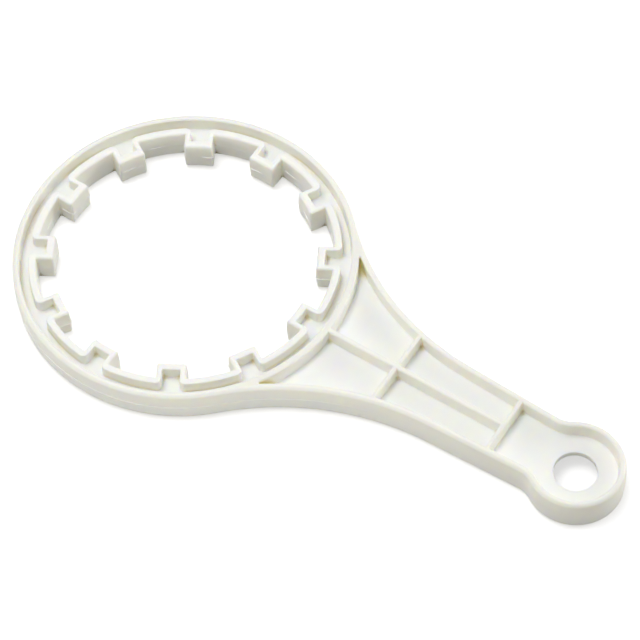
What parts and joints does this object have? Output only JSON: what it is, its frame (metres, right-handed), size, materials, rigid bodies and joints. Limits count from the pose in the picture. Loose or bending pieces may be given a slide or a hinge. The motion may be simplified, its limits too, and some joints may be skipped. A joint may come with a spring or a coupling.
{
  "type": "filter housing wrench",
  "caption": "Flat moulded plastic ring wrench: inward teeth grip a water filter housing, and a ribbed, hollowed handle ends in a rounded tab with a hanging hole.",
  "frame": {"origin": "on the ring's axis, at the lower face", "axes": "+Z along the ring's axis, +X along the handle towards its hanging hole"},
  "size_m": [0.2565, 0.132, 0.014],
  "materials": {
    "ivory_plastic": "satin moulded, warm ivory white"
  },
  "bodies": {
    "root": {"wrench_body": "ivory_plastic"}
  },
  "joints": []
}
